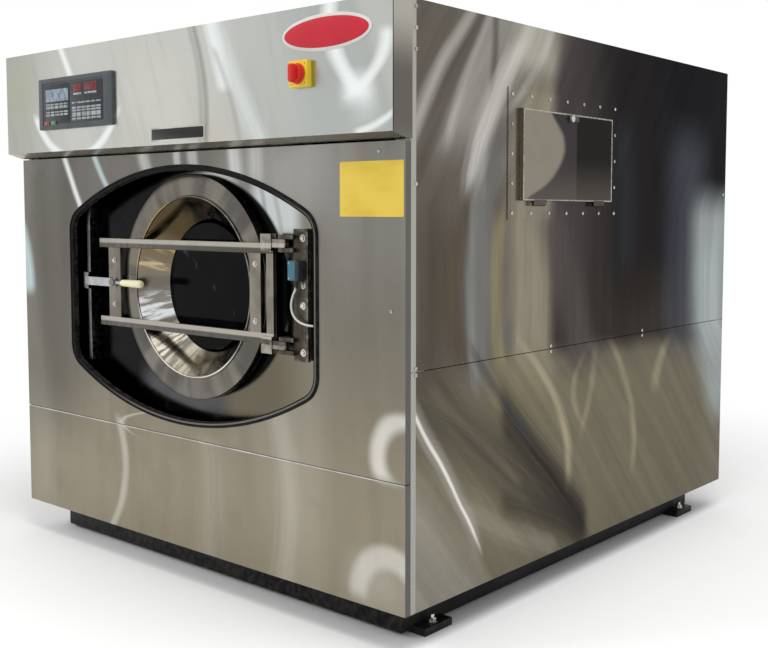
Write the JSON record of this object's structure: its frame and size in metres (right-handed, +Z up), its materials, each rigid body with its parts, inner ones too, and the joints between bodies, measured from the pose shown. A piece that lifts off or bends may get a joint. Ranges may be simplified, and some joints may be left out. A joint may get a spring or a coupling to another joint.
{
  "type": "industrial washer-extractor",
  "caption": "Stainless industrial laundry machine: sprung tub and drum behind a round strapped glass door, belt drive, control box and side detergent hatch.",
  "frame": {"origin": "on the floor at the centre of the four anchor-bolt holes in the base", "axes": "+X to the right seen from the front, +Y to the back, +Z up; the door is on the -Y side"},
  "size_m": [1.7306, 1.9193, 1.585],
  "materials": {
    "steel_painted_black": "satin",
    "rubber_black": "matte",
    "stainless_front": "brushed",
    "stainless_side": "polished, wavy",
    "stainless_polished": "polished",
    "stainless_door": "satin",
    "galvanised": "dull",
    "panel_dark": "satin",
    "key_red": "satin",
    "key_green": "satin",
    "plate_yellow": "satin",
    "knob_red": "gloss",
    "switch_dark": "matte",
    "screw_steel": "bright",
    "box_painted": "satin",
    "glass_dark": "polished",
    "hinge_brown": "dull",
    "sensor_blue": "satin",
    "cable_white": "matte",
    "grip_cream": "satin",
    "spring_steel": "satin",
    "damper_grey": "satin",
    "rod_bright": "bright",
    "cast_housing": "painted",
    "bearing_steel": "bright",
    "motor_blue": "satin",
    "belt_rubber": "matte",
    "brass_pipe": "dull",
    "valve_plastic": "satin"
  },
  "bodies": {
    "cabinet": {"back_panel": "stainless_side", "base_frame": "steel_painted_black", "cabinet_frame": "galvanised", "control_panel": "panel_dark", "damper_cylinders": "damper_grey", "detergent_box": "stainless_polished", "electrical_box": "box_painted", "fascia": "stainless_front", "foot_pads": "rubber_black", "front_panel": "stainless_front", "hatch_frame": "stainless_side", "hatch_screws": "screw_steel", "isolator_plate": "plate_yellow", "isolator_switch": "switch_dark", "kick_panel": "stainless_front", "opening_trim": "rubber_black", "panel_screws": "screw_steel", "side_panel_left_lower": "stainless_side", "side_panel_left_upper": "stainless_side", "side_panel_right_lower": "stainless_side", "side_panel_right_upper": "stainless_side", "spring_back_left": "spring_steel", "spring_back_right": "spring_steel", "spring_front_left": "spring_steel", "spring_front_right": "spring_steel", "top_panel": "stainless_side", "water_inlets": "brass_pipe"},
    "tub": {"tub_cradle": "steel_painted_black", "tub_shell": "stainless_polished", "tub_front_plate": "stainless_polished", "tub_back_plate": "stainless_polished", "door_seal": "rubber_black", "door_hinge_bracket": "hinge_brown", "door_switch": "sensor_blue", "switch_cable": "cable_white", "cable_gland": "switch_dark", "latch_post": "stainless_door", "bearing_housing": "cast_housing", "drum_bearings": "bearing_steel", "motor": "motor_blue", "drive_belts": "belt_rubber", "drain_pipe": "valve_plastic", "damper_rods": "rod_bright"},
    "drum": {"drum_shell": "stainless_polished", "drum_ribs": "stainless_polished", "drum_shaft": "bearing_steel", "drum_pulley": "cast_housing"},
    "motor_rotor": {"motor_pulley": "cast_housing"},
    "door": {"door_ring": "stainless_door", "door_bowl": "stainless_polished", "door_glass": "glass_dark", "door_frame": "stainless_door"},
    "latch": {"latch_arm": "stainless_door", "latch_grip": "grip_cream"},
    "isolator_knob": {"isolator_knob": "knob_red"},
    "hatch_lid": {"hatch_lid": "stainless_side"},
    "hatch_latch": {"hatch_latch": "rod_bright"},
    "stop_key": {"stop_key": "key_red"},
    "start_key": {"start_key": "key_green"},
    "drain_valve": {"drain_valve_disc": "stainless_polished"}
  },
  "joints": [
    {"name": "suspension_travel", "type": "slide", "parent": "cabinet", "child": "tub", "axis": [0, 0, 1], "range_m": [-0.025, 0], "stiffness_N_per_m": 320000, "springref_m": 0.04, "deforming": ["spring_front_left", "spring_front_right", "spring_back_left", "spring_back_right"]},
    {"name": "drum_spin", "type": "hinge", "parent": "tub", "child": "drum", "pos_m": [-0.005, 0, 0.863], "axis": [0, 1, 0], "continuous": true},
    {"name": "motor_spin", "type": "hinge", "parent": "tub", "child": "motor_rotor", "pos_m": [0.325, 0, 0.373], "axis": [0, 1, 0], "continuous": true},
    {"name": "door_swing", "type": "hinge", "parent": "tub", "child": "door", "pos_m": [0.4, -0.8613, 0.863], "axis": [0, 0, 1], "range_deg": [0, 135]},
    {"name": "latch_turn", "type": "hinge", "parent": "door", "child": "latch", "pos_m": [-0.362, -0.8703, 0.863], "axis": [0, 1, 0], "range_deg": [0, 35]},
    {"name": "isolator_turn", "type": "hinge", "parent": "cabinet", "child": "isolator_knob", "pos_m": [0.555, -0.935, 1.422], "axis": [0, 1, 0], "range_deg": [0, 90]},
    {"name": "hatch_swing", "type": "hinge", "parent": "cabinet", "child": "hatch_lid", "pos_m": [0.8598, -0.189, 1.1076], "axis": [0, 1, 0], "range_deg": [0, 150]},
    {"name": "hatch_latch_turn", "type": "hinge", "parent": "hatch_lid", "child": "hatch_latch", "pos_m": [0.86, -0.189, 1.348], "axis": [1, 0, 0], "range_deg": [-90, 0]},
    {"name": "stop_key_press", "type": "slide", "parent": "cabinet", "child": "stop_key", "axis": [0, 1, 0], "range_m": [0, 0.0015], "stiffness_N_per_m": 900, "springref_m": -0.0012},
    {"name": "start_key_press", "type": "slide", "parent": "cabinet", "child": "start_key", "axis": [0, 1, 0], "range_m": [0, 0.0015], "stiffness_N_per_m": 900, "springref_m": -0.0012},
    {"name": "drain_valve_turn", "type": "hinge", "parent": "tub", "child": "drain_valve", "pos_m": [-0.005, -0.25, 0.2055], "axis": [1, 0, 0], "range_deg": [0, 90]}
  ],
  "couplings": [
    {"joint": "motor_spin", "follows": "drum_spin", "ratio": 4.8333}
  ]
}
